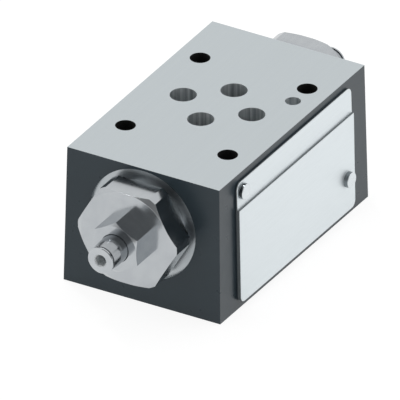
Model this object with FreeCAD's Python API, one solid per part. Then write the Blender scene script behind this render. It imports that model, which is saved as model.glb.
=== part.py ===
"""Hydraulic sandwich valve: a drafted cast block with an adjustable throttle cartridge in each end.

Millimetres. The origin is the centre of the face that lies on the subplate, +Z points up through the
block, X runs along the two cartridges (the A cartridge at -X) and the nameplate is on the -Y side.
"""
import FreeCAD, Part
import math
import os

V = FreeCAD.Vector

# Block
block_length = 76.26            # along X at the top face
block_width = 46.12             # along Y at the top face
block_height = 40.0
draft_deg = 1.0                 # all four sides widen towards the base

# Hole pattern of the mounting face, measured from the first bolt
first_bolt_x = -20.63
first_bolt_y = 15.5
bolt_pitch_x = 40.5
bolt_pitch_y = 31.0
far_bolt_offset_y = 0.75        # the far pair stands this much wider on each side
port_a_x = 12.7
port_b_x = 30.2
port_pt_x = 21.5
port_pt_offset_y = 10.4         # P and T stand this far either side of A and B
pin_hole_x = 33.0
pin_hole_y = 31.75
bolt_hole_dia = 5.5
port_dia = 7.2
pin_hole_dia = 4.2
pin_hole_depth = 6.0

# Seals in the face that lies on the subplate
seal_recess_dia = 12.4
seal_recess_depth = 1.35
seal_bore_dia = 8.8
seal_corner = 0.35
seal_clearance = 0.02

# Raised pad and nameplate on the -Y side, measured in the plane of the drafted side
pad_length = 60.0
pad_height = 35.6
pad_thickness = 0.28
pad_corner = 2.0
pad_root = 1.0                  # how far the pad's and the boss's own volume reaches into the block
strip_height = 7.8              # upper strip of the nameplate
strip_thickness = 0.4
field_rise = 0.68               # the large field stands this much above the strip

# Drive screws that hold the nameplate
drive_head_dia = 4.4
drive_head_height = 1.35
drive_head_edge = 0.15          # broken edge of the head
drive_shank_dia = 2.0
drive_hole_depth = 4.0
drive_hole_clearance = 0.02
drive_end_gap = 0.4
strip_screw_inset_x = 2.6       # from the plate's left edge
strip_screw_inset_y = 2.9       # from the plate's top edge
field_screw_inset_x = 3.85      # from the plate's right edge
field_screw_inset_y = 9.7       # from the plate's bottom edge

# Cartridge bores: depths run inwards from the face that a plug seats on. The A face is sunk into the
# drafted side, the B face lies on a low boss.
axis_z = 23.35
seat_a_x = 37.6
seat_b_x = 38.5
spotface_dia = 32.0
boss_dia = 30.0
thread_dia = 22.0
thread_depth = 8.5
thread_clearance = 0.05
chamber_dia = 19.0
chamber_length = 10.2           # from the end of the thread to the seat bore
seat_dia = 15.0
running_clearance = 0.03
cross_drill_dia = 5.0
port_stub_depth = 4.0

# Seat circlip and valve seat
circlip_land = 0.5
circlip_thickness = 1.0
circlip_depth = 0.7             # how far the circlip reaches into the bore's wall
circlip_width = 1.9             # radial width of its band
circlip_gap_deg = 50.0
circlip_clearance = 0.05
seat_length = 3.5
seat_hole_dia = 9.0
seat_chamfer = 0.5

# Check spring
spring_wire_dia = 1.2
spring_dia = 13.0
spring_pitch = 2.6

# Screw plug
hex_across_flats = 27.0
hex_bar_dia = 30.0
hex_height = 7.7
hex_face_dia = 27.2             # where the 30 degree chamfer starts
chamfer_deg = 30.0              # slope of the turned chamfer on the plug and the nut
collar_dia = 25.6
collar_height = 2.0
relief_dia = 20.0
relief_width = 1.2
nose_length = 3.0
nose_clearance = 0.1
guide_dia = 12.0
guide_outer_end = 4.0           # the guide bore reaches this far outside the seat face
plug_ring_groove_width = 1.8
plug_ring_groove_depth = 1.3
ring_corner = 0.45

# Adjusting spindle
screw_dia = 8.0
screw_clearance = 0.05
spindle_stick_out = 23.1        # from the seat face to the outer end
spindle_end_dia = 7.6
spindle_end_length = 0.6
spindle_neck_dia = 6.2
spindle_neck_width = 0.5
spindle_chamfer = 0.15
spindle_taper_dia = 7.4         # the screw runs out to this diameter at the neck
spindle_taper_length = 3.4
socket_across_flats = 3.0
socket_depth = 4.0
socket_lead_dia = 3.7           # rounded mouth of the key socket
spindle_travel_out = 3.0
spindle_head_length = 3.6
spindle_ring_groove_width = 1.7
spindle_ring_groove_depth = 1.25
spindle_nose_dia = 5.0
spindle_nose_length = 3.4

# Locknut
nut_across_flats = 13.0
nut_height = 5.8
nut_countersink = 0.15

# Throttle spool and the clip that ties it to the spindle
piston_length = 6.8
shank_dia = 10.8
cone_start = 16.5               # from the seat face
cone_length = 5.5
cone_tip_dia = 6.0
balance_bore_dia = 2.4
socket_clearance = 0.1
notch_depth = 0.9
notch_count = 3
clip_wire = 0.7
clip_gap_deg = 60.0
clip_clearance = 0.05

# Worked-out places
slope = math.tan(math.radians(draft_deg))
base_length = block_length + 2 * block_height * slope
base_width = block_width + 2 * block_height * slope
pad_bottom = (block_height - pad_height) / 2
seat_x = {"a": seat_a_x, "b": seat_b_x}
chamber_end = thread_depth + chamber_length
seat_bore_r = seat_dia / 2 + running_clearance
circlip_start = chamber_end + circlip_land
seat_start = circlip_start + circlip_thickness
seat_end = seat_start + seat_length
nose_end = thread_depth + nose_length
hex_outer = -(collar_height + hex_height)
head_outer = -guide_outer_end + spindle_travel_out
head_inner = head_outer + spindle_head_length
piston_r = guide_dia / 2 - thread_clearance
spool_start = head_inner + clip_clearance
clip_middle = head_inner + spindle_nose_length / 2


def pattern_point(x, y):
    """Row position of a point of the mounting face's hole pattern."""
    return V(first_bolt_x + x, first_bolt_y - y, 0)


middle_y = bolt_pitch_y / 2
bolt_points = [
    pattern_point(0, 0),
    pattern_point(bolt_pitch_x, -far_bolt_offset_y),
    pattern_point(bolt_pitch_x, bolt_pitch_y + far_bolt_offset_y),
    pattern_point(0, bolt_pitch_y),
]
port_points = {
    "a": pattern_point(port_a_x, middle_y),
    "b": pattern_point(port_b_x, middle_y),
    "p": pattern_point(port_pt_x, middle_y + port_pt_offset_y),
    "t": pattern_point(port_pt_x, middle_y - port_pt_offset_y),
}
pin_point = pattern_point(pin_hole_x, pin_hole_y)


def revolved(outline):
    """Solid turned about the X axis from a closed outline of (distance, radius) points."""
    wire = Part.makePolygon([V(x, 0, r) for x, r in outline + outline[:1]])
    return Part.Face(wire).revolve(V(0, 0, 0), V(1, 0, 0), 360)


def turned(points):
    """Solid turned about the X axis from (distance, radius) points, closed along the axis."""
    first, last = points[0][0], points[-1][0]
    return revolved([(first, 0)] + points + [(last, 0)])


def tube(start, end, outer_r, inner_r):
    """Plain ring about the X axis."""
    return revolved([(start, inner_r), (start, outer_r), (end, outer_r), (end, inner_r)])


def hexagon(across_flats, start, end, turn_deg):
    """Hexagonal bar along X. At 0 degrees a corner points along Y."""
    corner_r = across_flats / math.sqrt(3)
    corners = []
    for k in range(7):
        angle = math.radians(60 * k + turn_deg)
        corners.append(V(start, corner_r * math.cos(angle), corner_r * math.sin(angle)))
    return Part.Face(Part.makePolygon(corners)).extrude(V(end - start, 0, 0))


def seal_ring(start, width, outer_r, inner_r, corner):
    """Rubber ring about the X axis, its section squeezed nearly square with broken corners."""
    end = start + width
    return revolved([
        (start + corner, inner_r),
        (start, inner_r + corner),
        (start, outer_r - corner),
        (start + corner, outer_r),
        (end - corner, outer_r),
        (end, outer_r - corner),
        (end, inner_r + corner),
        (end - corner, inner_r),
    ])


def split_ring(start, end, outer_r, inner_r, gap_deg):
    """Spring clip about the X axis, open by gap_deg at its lower side."""
    clip = tube(start, end, outer_r, inner_r)
    half = math.radians(gap_deg / 2)
    reach = 2 * outer_r
    corners = [
        V(start, 0, 0),
        V(start, reach * math.sin(half), -reach * math.cos(half)),
        V(start, -reach * math.sin(half), -reach * math.cos(half)),
        V(start, 0, 0),
    ]
    return clip.cut(Part.Face(Part.makePolygon(corners)).extrude(V(end - start, 0, 0)))


def on_side(shape, side):
    """Carry a cartridge piece from its own axis to the A end or, turned round, to the B end."""
    placed = shape.copy()
    placed.translate(V(-seat_x[side], 0, axis_z))
    if side == "b":
        placed.rotate(V(0, 0, 0), V(0, 0, 1), 180)
    return placed


def port_depth(side):
    """Distance from the seat face of one end to the middle of its own port."""
    return seat_x[side] - abs(port_points[side].x)


def bore_end(side):
    """Depth at which the cartridge bore of one end stops, at the far wall of its port."""
    return port_depth(side) + port_dia / 2


def on_pad(shape):
    """Carry a shape drawn on the pad (X along, Y up the side, Z outwards) to the drafted side."""
    placed = shape.copy()
    turn = FreeCAD.Rotation(V(1, 0, 0), 90 - draft_deg)
    origin = V(0, -base_width / 2, 0)
    placed.Placement = FreeCAD.Placement(origin, turn).multiply(placed.Placement)
    return placed


def rounded_plate(bottom, top):
    """The pad's outline between two heights above the side."""
    plate = Part.makeBox(pad_length, pad_height, top - bottom, V(-pad_length / 2, pad_bottom, bottom))
    upright = [e for e in plate.Edges if abs(e.tangentAt(e.FirstParameter).z) > 0.99]
    return plate.makeFillet(pad_corner, upright)


def drive_screw_places():
    """Position on the pad and seat height of each drive screw."""
    top = pad_bottom + pad_height
    strip_top = pad_thickness + strip_thickness
    return [
        (-pad_length / 2 + strip_screw_inset_x, top - strip_screw_inset_y, strip_top),
        (pad_length / 2 - field_screw_inset_x, pad_bottom + field_screw_inset_y, strip_top + field_rise),
    ]


def drive_screw_holes():
    """Holes for the drive screws, through the plate and into the block."""
    radius = drive_shank_dia / 2 + drive_hole_clearance
    holes = []
    for x, y, seat in drive_screw_places():
        depth = drive_hole_depth + seat + field_rise
        holes.append(on_pad(Part.makeCylinder(radius, depth, V(x, y, -drive_hole_depth))))
    return holes


def seat_boss():
    """Low round boss that carries the B seat face out past the drafted side."""
    root = block_length / 2 - pad_root
    return Part.makeCylinder(boss_dia / 2, seat_b_x - root, V(root, 0, axis_z), V(1, 0, 0))


def make_block():
    """The drafted body with its nameplate pad and the boss at its B end."""
    layers = []
    for length, width, z in ((base_length, base_width, 0), (block_length, block_width, block_height)):
        x, y = length / 2, width / 2
        corners = [V(-x, -y, z), V(x, -y, z), V(x, y, z), V(-x, y, z), V(-x, -y, z)]
        layers.append(Part.makePolygon(corners))
    block = Part.makeLoft(layers, True, True)
    return block.fuse([on_pad(rounded_plate(-pad_root, pad_thickness)), seat_boss()])


def cartridge_bore(side):
    """Seat face, tapped bore, chamber, circlip groove and seat bore of one end, as one tool."""
    groove_r = seat_bore_r + circlip_depth + circlip_clearance
    groove_end = seat_start + circlip_clearance
    outside = -(spotface_dia / 2)
    bore = turned([
        (outside, spotface_dia / 2),
        (0, spotface_dia / 2),
        (0, thread_dia / 2),
        (thread_depth, thread_dia / 2),
        (thread_depth, chamber_dia / 2),
        (chamber_end, chamber_dia / 2),
        (chamber_end, seat_bore_r),
        (circlip_start, seat_bore_r),
        (circlip_start, groove_r),
        (groove_end, groove_r),
        (groove_end, seat_bore_r),
        (bore_end(side), seat_bore_r),
    ])
    return on_side(bore, side)


def cross_drilling(side):
    """Slanted drilling from the port in the base to the chamber behind the plug."""
    mouth = port_points[side]
    chamber_middle = (nose_end + chamber_end) / 2
    chamber_floor = axis_z - chamber_dia / 2
    target = V(math.copysign(seat_x[side] - chamber_middle, mouth.x), 0, chamber_floor)
    direction = target - mouth
    overrun = direction * (cross_drill_dia / direction.Length)
    return Part.makeCylinder(cross_drill_dia / 2, (direction + overrun).Length, mouth, direction)


def make_housing():
    """The cast and machined block."""
    housing = make_block()
    port_r = port_dia / 2
    cuts = [Part.makeCylinder(bolt_hole_dia / 2, block_height, point) for point in bolt_points]
    cuts.append(Part.makeCylinder(pin_hole_dia / 2, pin_hole_depth,
                                  pin_point + V(0, 0, block_height - pin_hole_depth)))
    for name, point in port_points.items():
        cuts.append(Part.makeCylinder(seal_recess_dia / 2, seal_recess_depth, point))
        if name in ("p", "t"):
            cuts.append(Part.makeCylinder(port_r, block_height, point))
        else:
            cuts.append(Part.makeCylinder(port_r, port_stub_depth, point))
            cuts.append(Part.makeCylinder(port_r, block_height - axis_z, point + V(0, 0, axis_z)))
            cuts.append(cartridge_bore(name))
            cuts.append(cross_drilling(name))
    cuts += drive_screw_holes()
    return housing.cut(cuts).removeSplitter()


def make_nameplate():
    """Plate on the pad: an upper strip, and a larger field that stands a little prouder."""
    strip_top = pad_thickness + strip_thickness
    plate = rounded_plate(pad_thickness, strip_top + field_rise)
    field_top = pad_bottom + pad_height - strip_height
    step = Part.makeBox(pad_length, strip_height, field_rise, V(-pad_length / 2, field_top, strip_top))
    return on_pad(plate.cut(step)).cut(drive_screw_holes())


def make_drive_screws():
    """Two drive screws with flat round heads."""
    head_r = drive_head_dia / 2
    shank_r = drive_shank_dia / 2
    shank_end = -drive_hole_depth + drive_end_gap
    screws = []
    for x, y, seat in drive_screw_places():
        head = Part.makeCylinder(head_r, drive_head_height, V(x, y, seat))
        rims = [e for e in head.Edges if e.Closed and e.CenterOfMass.z > seat + drive_head_height / 2]
        head = head.makeChamfer(drive_head_edge, rims)
        shank = Part.makeCylinder(shank_r, seat - shank_end, V(x, y, shank_end))
        screws.append(on_pad(head.fuse(shank)))
    return Part.makeCompound(screws)


def make_port_seal(name):
    """Seal ring of one port, flush with the base as it is when bolted down."""
    outer_r = seal_recess_dia / 2 - seal_clearance
    height = seal_recess_depth - seal_clearance
    ring = seal_ring(0, height, outer_r, seal_bore_dia / 2, seal_corner)
    ring.rotate(V(0, 0, 0), V(0, 1, 0), -90)
    ring.translate(port_points[name])
    return ring


def make_screw_plug():
    """Hexagon-headed plug that carries the spindle and guides the spool."""
    front_r = hex_face_dia / 2
    bar_r = hex_bar_dia / 2
    chamfer = (bar_r - front_r) * math.tan(math.radians(chamfer_deg))
    blank = turned([
        (hex_outer, front_r),
        (hex_outer + chamfer, bar_r),
        (-collar_height, bar_r),
    ])
    head = blank.common(hexagon(hex_across_flats, hex_outer, -collar_height, 0))
    nose_r = chamber_dia / 2 - nose_clearance
    groove_start = thread_depth + (nose_length - plug_ring_groove_width) / 2
    groove_end = groove_start + plug_ring_groove_width
    thread_r = thread_dia / 2 - thread_clearance
    shank = turned([
        (-collar_height, collar_dia / 2),
        (0, collar_dia / 2),
        (0, relief_dia / 2),
        (relief_width, relief_dia / 2),
        (relief_width, thread_r),
        (thread_depth - nose_clearance, thread_r),
        (thread_depth - nose_clearance, nose_r),
        (groove_start, nose_r),
        (groove_start, nose_r - plug_ring_groove_depth),
        (groove_end, nose_r - plug_ring_groove_depth),
        (groove_end, nose_r),
        (nose_end, nose_r),
    ])
    bore = turned([
        (hex_outer, screw_dia / 2 + screw_clearance),
        (-guide_outer_end, screw_dia / 2 + screw_clearance),
        (-guide_outer_end, guide_dia / 2),
        (nose_end, guide_dia / 2),
    ])
    return head.fuse(shank).cut(bore).removeSplitter()


def make_plug_ring():
    """Seal ring between the plug's nose and the chamber bore."""
    start = thread_depth + (nose_length - plug_ring_groove_width) / 2 + seal_clearance
    width = plug_ring_groove_width - 2 * seal_clearance
    inner_r = chamber_dia / 2 - nose_clearance - plug_ring_groove_depth + seal_clearance
    return seal_ring(start, width, chamber_dia / 2 - seal_clearance, inner_r, ring_corner)


def make_locknut():
    """Hexagon nut that locks the spindle against the plug."""
    outer = hex_outer - nut_height
    face_r = nut_across_flats / 2
    corner_r = nut_across_flats / math.sqrt(3)
    chamfer = (corner_r - face_r) * math.tan(math.radians(chamfer_deg))
    blank = turned([
        (outer, face_r),
        (outer + chamfer, corner_r),
        (hex_outer - chamfer, corner_r),
        (hex_outer, face_r),
    ])
    bore_r = screw_dia / 2 + screw_clearance
    bore = turned([
        (outer, bore_r + nut_countersink),
        (outer + nut_countersink, bore_r),
        (hex_outer - nut_countersink, bore_r),
        (hex_outer, bore_r + nut_countersink),
    ])
    return blank.common(hexagon(nut_across_flats, outer, hex_outer, 30)).cut(bore)


def spindle_ring_start():
    """Depth of the outer wall of the seal groove in the spindle's head."""
    return head_outer + (spindle_head_length - spindle_ring_groove_width) / 2


def make_spindle():
    """Adjusting spindle: key end with its neck, thread, sealed head and nose."""
    outer = -spindle_stick_out
    end_r = spindle_end_dia / 2
    neck_start = outer + spindle_end_length
    neck_end = neck_start + spindle_neck_width
    screw_r = screw_dia / 2
    groove_start = spindle_ring_start()
    groove_end = groove_start + spindle_ring_groove_width
    nose_r = spindle_nose_dia / 2
    clip_r = nose_r - clip_wire / 2
    clip_half = clip_wire / 2 + clip_clearance
    body = turned([
        (outer, end_r - spindle_chamfer),
        (outer + spindle_chamfer, end_r),
        (neck_start, end_r),
        (neck_start, spindle_neck_dia / 2),
        (neck_end, spindle_neck_dia / 2),
        (neck_end, spindle_taper_dia / 2),
        (neck_end + spindle_taper_length, screw_r),
        (head_outer, screw_r),
        (head_outer, piston_r),
        (groove_start, piston_r),
        (groove_start, piston_r - spindle_ring_groove_depth),
        (groove_end, piston_r - spindle_ring_groove_depth),
        (groove_end, piston_r),
        (head_inner, piston_r),
        (head_inner, nose_r),
        (clip_middle - clip_half, nose_r),
        (clip_middle - clip_half, clip_r),
        (clip_middle + clip_half, clip_r),
        (clip_middle + clip_half, nose_r),
        (head_inner + spindle_nose_length, nose_r),
    ])
    key = hexagon(socket_across_flats, outer, outer + socket_depth, 0)
    lead_depth = (socket_lead_dia - socket_across_flats) / 2
    lead = turned([(outer, socket_lead_dia / 2), (outer + lead_depth, socket_across_flats / 2)])
    return body.cut([key, lead])


def make_spindle_ring():
    """Seal ring of the spindle's head in the guide bore."""
    start = spindle_ring_start() + seal_clearance
    width = spindle_ring_groove_width - 2 * seal_clearance
    inner_r = piston_r - spindle_ring_groove_depth + seal_clearance
    return seal_ring(start, width, guide_dia / 2 - seal_clearance, inner_r, ring_corner)


def make_spool_clip():
    """Wire clip that ties the spool to the spindle's nose and leaves the spindle free to turn."""
    inner_r = spindle_nose_dia / 2 - clip_wire / 2 + clip_clearance
    start = clip_middle - clip_wire / 2
    return split_ring(start, start + clip_wire, inner_r + clip_wire, inner_r, clip_gap_deg)


def throttle_notch(angle_deg):
    """Tapered flow notch along the cone, deepest at the tip."""
    tip = cone_start + cone_length
    tip_r = cone_tip_dia / 2
    half_width = notch_depth
    wire = Part.makePolygon([
        V(tip, -half_width, tip_r + notch_depth),
        V(tip, half_width, tip_r + notch_depth),
        V(tip, 0, tip_r - notch_depth),
        V(tip, -half_width, tip_r + notch_depth),
    ])
    run_out = V(-cone_length, 0, shank_dia / 2 - tip_r + notch_depth)
    notch = Part.Face(wire).extrude(run_out)
    notch.rotate(V(0, 0, 0), V(1, 0, 0), angle_deg)
    return notch


def make_spool():
    """Throttle spool: guided piston, socket for the spindle's nose, cone with flow notches."""
    tip = cone_start + cone_length
    body = turned([
        (spool_start, piston_r),
        (spool_start + piston_length, piston_r),
        (spool_start + piston_length, shank_dia / 2),
        (cone_start, shank_dia / 2),
        (tip, cone_tip_dia / 2),
    ])
    socket_r = spindle_nose_dia / 2 + socket_clearance
    clip_r = spindle_nose_dia / 2 + clip_wire / 2 + 2 * clip_clearance
    clip_half = clip_wire / 2 + clip_clearance
    socket_end = head_inner + spindle_nose_length + socket_clearance
    bore = turned([
        (spool_start, socket_r),
        (clip_middle - clip_half, socket_r),
        (clip_middle - clip_half, clip_r),
        (clip_middle + clip_half, clip_r),
        (clip_middle + clip_half, socket_r),
        (socket_end, socket_r),
        (socket_end, balance_bore_dia / 2),
        (tip, balance_bore_dia / 2),
    ])
    notches = [throttle_notch(360 * k / notch_count) for k in range(notch_count)]
    return body.cut([bore] + notches)


def make_circlip():
    """Circlip that stops the valve seat."""
    outer_r = seat_bore_r + circlip_depth
    return split_ring(circlip_start, seat_start, outer_r, outer_r - circlip_width, circlip_gap_deg)


def make_valve_seat():
    """Sliding seat that lets oil return freely by moving back against its spring."""
    hole_r = seat_hole_dia / 2
    bore = turned([
        (seat_start, hole_r + seat_chamfer),
        (seat_start + seat_chamfer, hole_r),
        (seat_end, hole_r),
    ])
    return turned([(seat_start, seat_dia / 2), (seat_end, seat_dia / 2)]).cut(bore)


def make_check_spring(side):
    """Compression spring between the seat and the end of the bore; its wire is drawn eight-sided."""
    length = bore_end(side) - seat_end
    wire_r = spring_wire_dia / 2
    coil_r = spring_dia / 2 - wire_r
    helix = Part.makeHelix(spring_pitch, length - spring_wire_dia, coil_r)
    corners = []
    for k in range(9):
        angle = math.radians(45 * k + 22.5)
        corners.append(V(coil_r + wire_r * math.cos(angle), 0, wire_r * math.sin(angle)))
    coil = Part.Wire(helix.Edges).makePipeShell([Part.makePolygon(corners)], True, True)
    coil.rotate(V(0, 0, 0), V(0, 1, 0), 90)
    coil.translate(V(seat_end + wire_r, 0, 0))
    return coil


def make_all():
    """Every piece of the valve by its node name."""
    nodes = {
        "housing": make_housing(),
        "nameplate": make_nameplate(),
        "drive_screws": make_drive_screws(),
    }
    for name in port_points:
        nodes["port_seal_" + name] = make_port_seal(name)
    cartridge = {
        "screw_plug": make_screw_plug(),
        "plug_seal_ring": make_plug_ring(),
        "locknut": make_locknut(),
        "adjusting_spindle": make_spindle(),
        "spindle_seal_ring": make_spindle_ring(),
        "spool_clip": make_spool_clip(),
        "throttle_spool": make_spool(),
        "seat_circlip": make_circlip(),
        "valve_seat": make_valve_seat(),
    }
    for side in ("a", "b"):
        for name, shape in cartridge.items():
            nodes[name + "_" + side] = on_side(shape, side)
        nodes["check_spring_" + side] = on_side(make_check_spring(side), side)
    return nodes


os.makedirs("parts", exist_ok=True)
for node, shape in make_all().items():
    shape.exportStep("parts/" + node + ".step")
    print(f"{node:22s} valid {shape.isValid()}  solids {len(shape.Solids)}  volume {shape.Volume:10.2f}")
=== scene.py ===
"""Looks of the hydraulic sandwich valve: dark painted casting, ground faces, turned and ground steel."""
import bmesh
import bpy
import math
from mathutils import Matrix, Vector


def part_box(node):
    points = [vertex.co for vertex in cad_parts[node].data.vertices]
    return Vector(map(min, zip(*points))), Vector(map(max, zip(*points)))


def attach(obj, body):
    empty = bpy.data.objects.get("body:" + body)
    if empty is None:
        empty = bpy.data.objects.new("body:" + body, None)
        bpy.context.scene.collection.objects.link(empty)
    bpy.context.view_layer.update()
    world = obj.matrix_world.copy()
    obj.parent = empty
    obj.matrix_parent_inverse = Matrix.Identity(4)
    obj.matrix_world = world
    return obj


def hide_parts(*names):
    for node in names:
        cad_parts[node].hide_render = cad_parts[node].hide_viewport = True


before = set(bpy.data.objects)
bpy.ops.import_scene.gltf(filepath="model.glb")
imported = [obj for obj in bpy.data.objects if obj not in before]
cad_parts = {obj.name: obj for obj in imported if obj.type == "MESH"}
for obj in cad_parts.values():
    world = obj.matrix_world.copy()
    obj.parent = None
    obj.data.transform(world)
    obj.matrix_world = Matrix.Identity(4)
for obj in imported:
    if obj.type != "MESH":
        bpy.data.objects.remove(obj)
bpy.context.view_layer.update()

MM = 0.001

# View: an orthographic look down at 30 degrees onto the corner with the A cartridge and the nameplate
VIEW_AZIMUTH = -60.0
VIEW_ELEVATION = 30.0
VIEW_WIDTH = 105.07 * MM
VIEW_CENTRE = Vector((-44.85, -21.09, 40.0)) * MM
CAMERA_DISTANCE = 0.6

# Places that the finishes of the housing follow
BLOCK_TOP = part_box("housing")[1][2]
AXIS_Z = 23.35 * MM                     # height of the axis of both cartridges
SEAT_PLANES = (-37.6 * MM, 38.5 * MM)
SEAT_SLACK = 0.02 * MM
SPOTFACE_RADIUS = 16.0 * MM
SPOTFACE_SLACK = 0.2 * MM
GROUND_SLACK = 0.1 * MM
INNER_REACH_X = 37.5 * MM               # ports and bores lie within these two reaches
INNER_REACH_Y = 22.8 * MM
BOLT_REACH = 3.0 * MM
BOLT_HOLES = [(-20.63, 15.5), (-20.63, -15.5), (19.87, 16.25), (19.87, -16.25)]    # mm

# How squarely a face has to look along an axis: the length of its normal along it
LEVEL = 0.999                           # top and base
SQUARE = 0.99995                        # seats, but not the end faces, which are drafted by 1 degree
PLATE_FRONT = 0.99
HEAD_FRONT = 0.5                        # face and broken edge of a screw head
ALONG_AXIS = 0.1                        # walls that run along the cartridge axis stay below this

# Places that the finishes of nuts and spindles follow
NUT_CHAMFER_DEPTH = 0.62 * MM
NUT_BORE_REACH = 6.3 * MM
SOCKET_REACH = 1.86 * MM
SOCKET_FROM = 0.01 * MM
SOCKET_DEPTH = 4.2 * MM
# Where the darker copy of the spindle steel, painted shade, begins
SHADED_SPINDLE_FROM = 1.05 * MM                 # behind the end disc

# Edges: faces that meet at less than ROUND_ANGLE are shaded as one round surface
ROUND_ANGLE = math.radians(20)
FLAT_ANGLE = math.radians(0.3)
MERGE_DISTANCE = 0.0005 * MM
PLATE_EDGE = 0.12 * MM
TURNED_EDGE = 0.08 * MM
NUT_EDGE = 0.05 * MM

# Patterns
NOISE_RANGE = (0.3, 0.7)                # Blender's noise seldom leaves this range
WAVE_PERIOD = 0.314                     # between the rings of Blender's wave at scale 1
RING_SPACING = 0.4 * MM

# Studio: an even white room with a dimmer side where the camera stands, and one small lamp
DIM_SIDE = Vector((-0.75, -0.33, 0.57)).normalized()
DIM_LEVEL = 0.28
DIM_RANGE = (0.5, 0.93)                 # cosines of the angle to DIM_SIDE over which the room dims
LAMP_DIRECTION = Vector((0.27, 0.43, 0.86))
LAMP_ENERGY = 0.35
LAMP_ANGLE = math.radians(8)
FLOOR_REACH = 1.5
FLOOR_GLOW = 0.88


def linear(hex_colour):
    """An sRGB hex colour as linear red, green, blue and alpha."""
    channels = [int(hex_colour[k:k + 2], 16) / 255 for k in (1, 3, 5)]
    return [c / 12.92 if c <= 0.04045 else ((c + 0.055) / 1.055) ** 2.4 for c in channels] + [1.0]


def add_node(tree, kind, inputs=None, **settings):
    """Adds a node; inputs maps a socket's name or number to a value or to another node's output."""
    node = tree.nodes.new(kind)
    for name, value in settings.items():
        setattr(node, name, value)
    for name, value in (inputs or {}).items():
        if isinstance(value, bpy.types.NodeSocket):
            tree.links.new(value, node.inputs[name])
        else:
            node.inputs[name].default_value = value
    return node


def new_material(name, metallic, ior=1.5):
    """A material with its shader, its output and its object coordinates."""
    material = bpy.data.materials.new(name)
    material.use_nodes = True
    tree = material.node_tree
    tree.nodes.clear()
    shader = add_node(tree, "ShaderNodeBsdfPrincipled", {"Metallic": metallic, "IOR": ior})
    add_node(tree, "ShaderNodeOutputMaterial", {"Surface": shader.outputs["BSDF"]})
    place = add_node(tree, "ShaderNodeTexCoord").outputs["Object"]
    return material, tree, shader, place


def wander(tree, place, grain, low, high):
    """A value that wanders from low to high over a grain of so many millimetres along X, Y and Z."""
    scale = [1 / (size * MM) for size in grain]
    grown = add_node(tree, "ShaderNodeMapping", {"Vector": place, "Scale": scale})
    noise = add_node(tree, "ShaderNodeTexNoise", {"Vector": grown.outputs[0], "Scale": 1.0, "Detail": 2.0})
    spread = add_node(tree, "ShaderNodeMapRange",
                      {0: noise.outputs[0], 1: NOISE_RANGE[0], 2: NOISE_RANGE[1], 3: low, 4: high})
    return spread.outputs[0]


def two_tone(tree, shader, amount, light, dark):
    """Lets a pattern shift the colour between two near tones of one finish."""
    tones = {0: amount, 6: linear(dark), 7: linear(light)}
    mixed = add_node(tree, "ShaderNodeMix", tones, data_type="RGBA")
    tree.links.new(mixed.outputs[2], shader.inputs["Base Color"])


def roughness_from(tree, shader, value):
    """Lets a pattern set the roughness."""
    tree.links.new(value, shader.inputs["Roughness"])


def dented(tree, shader, height, depth):
    """Turns a pattern of heights from 0 to 1 into relief of a real depth in metres."""
    bump = add_node(tree, "ShaderNodeBump", {"Height": height, "Distance": depth, "Strength": 1.0})
    tree.links.new(bump.outputs[0], shader.inputs["Normal"])


def casting_paint():
    """Enamel and clear lacquer sprayed on cast iron: near black, semi-gloss, with a faint orange peel."""
    material, tree, shader, place = new_material("lacquered_enamel_on_cast_iron", 0.0, 1.33)
    shader.inputs["Specular Tint"].default_value = linear("#f0faff")
    shader.inputs["Coat Weight"].default_value = 0.5
    shader.inputs["Coat Roughness"].default_value = 0.3
    shader.inputs["Coat IOR"].default_value = 1.3
    two_tone(tree, shader, wander(tree, place, (9, 9, 9), 0, 1), "#2b373e", "#29343b")
    roughness_from(tree, shader, wander(tree, place, (4, 4, 4), 0.27, 0.33))
    dented(tree, shader, wander(tree, place, (1.6, 1.6, 1.6), 0, 1), 0.002 * MM)
    return material


def ground_face():
    """Cast iron off the surface grinder: flat and bright, with hair-fine lines along the block."""
    material, tree, shader, place = new_material("surface_ground_cast_iron", 1.0)
    lines = wander(tree, place, (30, 0.35, 30), 0, 1)
    two_tone(tree, shader, lines, "#bcc3c6", "#bac1c4")
    roughness_from(tree, shader, wander(tree, place, (24, 0.5, 24), 0.29, 0.32))
    return material


def reamed_wall():
    """Reamed port wall: grey, with upright streaks along the hole, drawn at 0.8 mm so that they can show."""
    material, tree, shader, place = new_material("reamed_cast_iron", 1.0)
    streaks = wander(tree, place, (0.8, 0.8, 40), 0, 1)
    two_tone(tree, shader, streaks, "#fbfeff", "#bec4c7")
    roughness_from(tree, shader, wander(tree, place, (0.8, 0.8, 40), 0.43, 0.52))
    return material


def drilled_wall():
    """Rough-drilled clearance hole, its wall coloured near black: painted shade for the deep bolt holes."""
    material, tree, shader, place = new_material("drilled_cast_iron_painted_black_as_shade", 0.0)
    two_tone(tree, shader, wander(tree, place, (1, 1, 0.4), 0, 1), "#0b0c0c", "#050505")
    roughness_from(tree, shader, wander(tree, place, (1, 1, 0.4), 0.75, 0.95))
    return material


def broached_wall():
    """Walls of the key sockets: torn a little by the broach, so they hold a soft grey and no clear image."""
    material, tree, shader, place = new_material("broached_steel", 0.2)
    two_tone(tree, shader, wander(tree, place, (0.5, 0.5, 0.5), 0, 1), "#d6dadc", "#c8ccce")
    roughness_from(tree, shader, wander(tree, place, (4, 0.4, 0.4), 0.35, 0.45))
    return material


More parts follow.
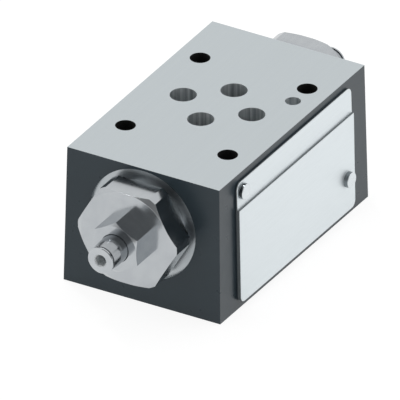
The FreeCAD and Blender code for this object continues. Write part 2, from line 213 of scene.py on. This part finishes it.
def turned_metal(name, light, dark, smooth, rough):
    """Metal off the lathe, or bright all over: a clear sheen that is broken up by fine rings about the axis.

    The rings are drawn at 0.4 mm so that they can show. On the screw heads and springs, which don't lie
    on that axis, they only give the sheen a slight unevenness.
    """
    material, tree, shader, place = new_material(name, 1.0)
    on_axis = add_node(tree, "ShaderNodeMapping", {"Vector": place, "Location": (0, 0, -AXIS_Z)})
    rings = add_node(tree, "ShaderNodeTexWave",
                     {"Vector": on_axis.outputs[0], "Scale": WAVE_PERIOD / RING_SPACING,
                      "Distortion": 1.5, "Detail": 2.0, "Detail Scale": 0.5},
                     wave_type="RINGS", rings_direction="X")
    patches = wander(tree, place, (5, 5, 5), 0, 1)
    blend = add_node(tree, "ShaderNodeMath", {0: rings.outputs[1], 1: 0.3, 2: patches},
                     operation="MULTIPLY_ADD")
    two_tone(tree, shader, blend.outputs[0], light, dark)
    spread = add_node(tree, "ShaderNodeMapRange", {0: blend.outputs[0], 1: 0.0, 2: 1.3, 3: smooth, 4: rough})
    roughness_from(tree, shader, spread.outputs[0])
    return material


def plate_face():
    """Satin anodised aluminium: pale and even, with a short fine brushed grain along the plate."""
    material, tree, shader, place = new_material("satin_anodised_aluminium", 0.75)
    grain = wander(tree, place, (6, 0.3, 0.3), 0, 1)
    two_tone(tree, shader, grain, "#e7eef1", "#e4ebee")
    roughness_from(tree, shader, wander(tree, place, (8, 0.4, 0.4), 0.43, 0.48))
    return material


def sheared_edge():
    """Cut edge of the plate: dull grey oxide, torn finely across, with hardly any gloss."""
    material, tree, shader, place = new_material("sheared_aluminium_edge", 0.0)
    two_tone(tree, shader, wander(tree, place, (0.3, 6, 0.3), 0, 1), "#787f82", "#707679")
    roughness_from(tree, shader, wander(tree, place, (0.3, 6, 0.3), 0.55, 0.65))
    return material


def rubber():
    """Moulded nitrile rubber: dull black with a slight bloom."""
    material, tree, shader, place = new_material("moulded_nitrile_rubber", 0.0)
    two_tone(tree, shader, wander(tree, place, (2, 2, 2), 0, 1), "#222325", "#18191a")
    roughness_from(tree, shader, wander(tree, place, (1, 1, 1), 0.5, 0.7))
    return material


PAINT = casting_paint()
GROUND = ground_face()
REAMED = reamed_wall()
# Bolt-hole walls: near black, painted shade for the deep holes
DRILLED_PAINTED_SHADE = drilled_wall()
BROACHED = broached_wall()
FACED = turned_metal("spot_faced_cast_iron", "#babfc2", "#acb2b5", 0.32, 0.4)
ZINC = turned_metal("zinc_plated_turned_steel", "#b6babd", "#adb1b5", 0.12, 0.2)
BRIGHT = turned_metal("bright_turned_steel", "#bcc0c3", "#b0b4b8", 0.12, 0.2)
# Spindle behind the end disc: a darker copy of the bright steel, painted shade on the taper and body
SHADED_SPINDLE_STEEL = turned_metal("spindle_steel_darkened_as_shade", "#a4a8ab", "#989ca0", 0.12, 0.18)
# Screw heads: a lighter copy of the nickel finish on the face (painted light) and a darker one on the flank
# (painted shade)
SCREW_FACE_PAINTED_LIGHT = turned_metal("nickel_plated_head_face_painted_light", "#dce2e5", "#d7dde0", 0.25, 0.32)
SCREW_FLANK_PAINTED_SHADE = turned_metal("nickel_plated_head_flank_painted_shade", "#868b8e", "#7b8083", 0.14, 0.2)
GROUND_STEEL = turned_metal("hardened_and_ground_steel", "#b9bec2", "#a9aeb3", 0.08, 0.14)
SPRING_STEEL = turned_metal("oil_tempered_spring_steel", "#6b6c70", "#58595d", 0.3, 0.4)
PLATE = plate_face()
SHEARED = sheared_edge()
RUBBER = rubber()

INNER_FINISH = {"seal": RUBBER, "spring": SPRING_STEEL, "clip": SPRING_STEEL, "spool": GROUND_STEEL,
                "seat": GROUND_STEEL}


def add_object(name, data):
    """Puts new data into the scene as an object at the origin."""
    thing = bpy.data.objects.new(name, data)
    bpy.context.scene.collection.objects.link(thing)
    return thing


def distance_from_axis(place):
    """How far a point lies from the axis of both cartridges."""
    return math.hypot(place.y, place.z - AXIS_Z)


def finished_copy(node, body, materials, pick, broken=0.0):
    """A merged copy of a CAD piece with its faces sorted onto materials and its sharp edges broken."""
    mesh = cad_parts[node].data.copy()
    mesh.materials.clear()
    for material in materials:
        mesh.materials.append(material)
    if "custom_normal" in mesh.attributes:
        mesh.attributes.remove(mesh.attributes["custom_normal"])
    bm = bmesh.new()
    bm.from_mesh(mesh)
    bmesh.ops.remove_doubles(bm, verts=bm.verts, dist=MERGE_DISTANCE)
    for face in bm.faces:
        face.material_index = pick(face)
    bmesh.ops.dissolve_limit(bm, angle_limit=FLAT_ANGLE, verts=bm.verts, edges=bm.edges,
                             delimit={"MATERIAL"})
    for face in bm.faces:
        face.smooth = True
    bm.to_mesh(mesh)
    bm.free()
    mesh.set_sharp_from_angle(angle=ROUND_ANGLE)
    piece = add_object("finished_" + node, mesh)
    if broken:
        edge = piece.modifiers.new("broken_edges", "BEVEL")
        edge.width = broken
        edge.segments = 2
        edge.limit_method = "ANGLE"
        edge.angle_limit = ROUND_ANGLE
        edge.harden_normals = True
    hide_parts(node)
    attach(piece, body)
    return piece


def break_plate_edges(piece):
    """Narrow bright bevel where the plate's front faces meet its walls, as a trimmed edge has."""
    bm = bmesh.new()
    bm.from_mesh(piece.data)
    rims = [e for e in bm.edges
            if e.is_convex and {f.material_index for f in e.link_faces} == {0, 1}]
    bmesh.ops.bevel(bm, geom=rims, offset=PLATE_EDGE, offset_type="OFFSET", affect="EDGES",
                    segments=1, profile=0.5, material=0)
    bm.to_mesh(piece.data)
    bm.free()
    piece.data.set_sharp_from_angle(angle=ROUND_ANGLE)


def flatten_rear(piece, node):
    """Takes the chamfer off the nut's rear face, so that it sits on the plug without a gap round it."""
    low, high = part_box(node)
    rear = high[0] if high[0] < 0 else low[0]
    for vertex in piece.data.vertices:
        near_rear = abs(vertex.co.x - rear) < NUT_CHAMFER_DEPTH
        if near_rear and distance_from_axis(vertex.co) > NUT_BORE_REACH:
            vertex.co.x = rear
    piece.data.set_sharp_from_angle(angle=ROUND_ANGLE)


def spindle_finish(node):
    """A choice of finish for one spindle: bright end disc, broached key socket, and behind the disc a darker
    copy of the bright steel, painted shade.
    """
    low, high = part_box(node)
    end = low[0] if low[0] < 0 else high[0]

    def pick(face):
        centre = face.calc_center_median()
        depth = abs(centre.x - end)
        if distance_from_axis(centre) < SOCKET_REACH and SOCKET_FROM < depth < SOCKET_DEPTH:
            return 1
        return 2 if depth > SHADED_SPINDLE_FROM else 0

    return pick


def housing_finish(face):
    """Number of the finish: 0 paint, 1 ground, 2 reamed, 3 drilled (near black, painted shade), 4 faced."""
    centre = face.calc_center_median()
    level = abs(face.normal.z) > LEVEL
    if level and (centre.z > BLOCK_TOP - GROUND_SLACK or centre.z < GROUND_SLACK):
        return 1
    if any(math.hypot(centre.x - x * MM, centre.y - y * MM) < BOLT_REACH for x, y in BOLT_HOLES):
        return 3
    if abs(face.normal.x) > SQUARE and min(abs(centre.x - x) for x in SEAT_PLANES) < SEAT_SLACK:
        return 4
    if abs(centre.x) < INNER_REACH_X:
        return 2 if abs(centre.y) < INNER_REACH_Y else 0
    on_spotface_wall = (abs(distance_from_axis(centre) - SPOTFACE_RADIUS) < SPOTFACE_SLACK
                        and abs(face.normal.x) < ALONG_AXIS)
    return 4 if on_spotface_wall else 0


def plate_finish(face):
    """Number of the finish: 0 anodised front, 1 sheared edge."""
    return 0 if face.normal.y < -PLATE_FRONT else 1


def screw_finish(face):
    """Number of the finish: 0 face of a head, a lighter tone as painted light, 1 flank, a darker tone as
    painted shade.
    """
    return 0 if face.normal.y < -HEAD_FRONT else 1


def one_finish(face):
    """The same finish all over."""
    return 0


finished_copy("housing", "housing", [PAINT, GROUND, REAMED, DRILLED_PAINTED_SHADE, FACED], housing_finish)
break_plate_edges(finished_copy("nameplate", "housing", [PLATE, SHEARED], plate_finish))
finished_copy("drive_screws", "housing", [SCREW_FACE_PAINTED_LIGHT, SCREW_FLANK_PAINTED_SHADE], screw_finish)
for side in ("a", "b"):
    finished_copy("screw_plug_" + side, "housing", [ZINC], one_finish, TURNED_EDGE)
    nut = "locknut_" + side
    flatten_rear(finished_copy(nut, nut, [ZINC], one_finish, NUT_EDGE), nut)
    spindle = "adjusting_spindle_" + side
    finished_copy(spindle, "spindle_" + side, [BRIGHT, BROACHED, SHADED_SPINDLE_STEEL], spindle_finish(spindle),
                  TURNED_EDGE)

for node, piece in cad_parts.items():
    for word, material in INNER_FINISH.items():
        if word in node:
            piece.data.materials.clear()
            piece.data.materials.append(material)
            break


def make_floor():
    """Plain floor: white to the camera and in reflections, with a faint shadow of the valve."""
    bm = bmesh.new()
    bmesh.ops.create_grid(bm, x_segments=1, y_segments=1, size=FLOOR_REACH)
    mesh = bpy.data.meshes.new("floor")
    bm.to_mesh(mesh)
    bm.free()
    floor = add_object("floor", mesh)
    material = bpy.data.materials.new("white_studio_floor")
    material.use_nodes = True
    tree = material.node_tree
    tree.nodes.clear()
    rays = add_node(tree, "ShaderNodeLightPath")
    seen = add_node(tree, "ShaderNodeMath",
                    {0: rays.outputs["Is Camera Ray"], 1: rays.outputs["Is Glossy Ray"]},
                    operation="MAXIMUM")
    matt = add_node(tree, "ShaderNodeBsdfDiffuse", {"Color": linear("#f4f4f4")})
    shaded = add_node(tree, "ShaderNodeBsdfDiffuse", {"Color": linear("#7a7a7a")})
    white = add_node(tree, "ShaderNodeEmission", {"Color": linear("#ffffff"), "Strength": FLOOR_GLOW})
    background = add_node(tree, "ShaderNodeAddShader", {0: shaded.outputs[0], 1: white.outputs[0]})
    mix = add_node(tree, "ShaderNodeMixShader",
                   {0: seen.outputs[0], 1: matt.outputs[0], 2: background.outputs[0]})
    add_node(tree, "ShaderNodeOutputMaterial", {"Surface": mix.outputs[0]})
    mesh.materials.append(material)


def make_world():
    """White room whose side behind the camera is dimmer, which gives the turned metal its contrast."""
    world = bpy.data.worlds.new("studio")
    bpy.context.scene.world = world
    world.use_nodes = True
    tree = world.node_tree
    tree.nodes.clear()
    direction = add_node(tree, "ShaderNodeTexCoord").outputs["Generated"]
    nearness = add_node(tree, "ShaderNodeVectorMath", {0: direction, 1: DIM_SIDE}, operation="DOT_PRODUCT")
    level = add_node(tree, "ShaderNodeMapRange",
                     {0: nearness.outputs["Value"], 1: DIM_RANGE[0], 2: DIM_RANGE[1], 3: 1.0, 4: DIM_LEVEL},
                     interpolation_type="SMOOTHSTEP")
    rays = add_node(tree, "ShaderNodeLightPath")
    shown = add_node(tree, "ShaderNodeMath", {0: level.outputs[0], 1: rays.outputs["Is Camera Ray"]},
                     operation="MAXIMUM")
    room = add_node(tree, "ShaderNodeBackground", {"Color": linear("#ffffff"), "Strength": shown.outputs[0]})
    add_node(tree, "ShaderNodeOutputWorld", {"Surface": room.outputs[0]})


def make_lamp():
    """One small weak lamp, which puts the sparks on the screw heads and the spindle."""
    data = bpy.data.lights.new("small_lamp", "SUN")
    data.energy = LAMP_ENERGY
    data.angle = LAMP_ANGLE
    lamp = add_object("small_lamp", data)
    lamp.rotation_mode = "QUATERNION"
    lamp.rotation_quaternion = LAMP_DIRECTION.to_track_quat("Z", "Y")


def make_camera():
    """Orthographic camera that frames the valve as the view above says."""
    data = bpy.data.cameras.new("view")
    data.type = "ORTHO"
    data.ortho_scale = VIEW_WIDTH
    camera = add_object("view", data)
    a = math.radians(VIEW_AZIMUTH)
    e = math.radians(VIEW_ELEVATION)
    back = Vector((math.sin(a) * math.cos(e), -math.cos(a) * math.cos(e), math.sin(e)))
    camera.location = VIEW_CENTRE + back * CAMERA_DISTANCE
    camera.rotation_mode = "QUATERNION"
    camera.rotation_quaternion = (-back).to_track_quat("-Z", "Y")
    bpy.context.scene.camera = camera


make_floor()
make_world()
make_lamp()
make_camera()
bpy.context.scene.view_settings.view_transform = "Standard"
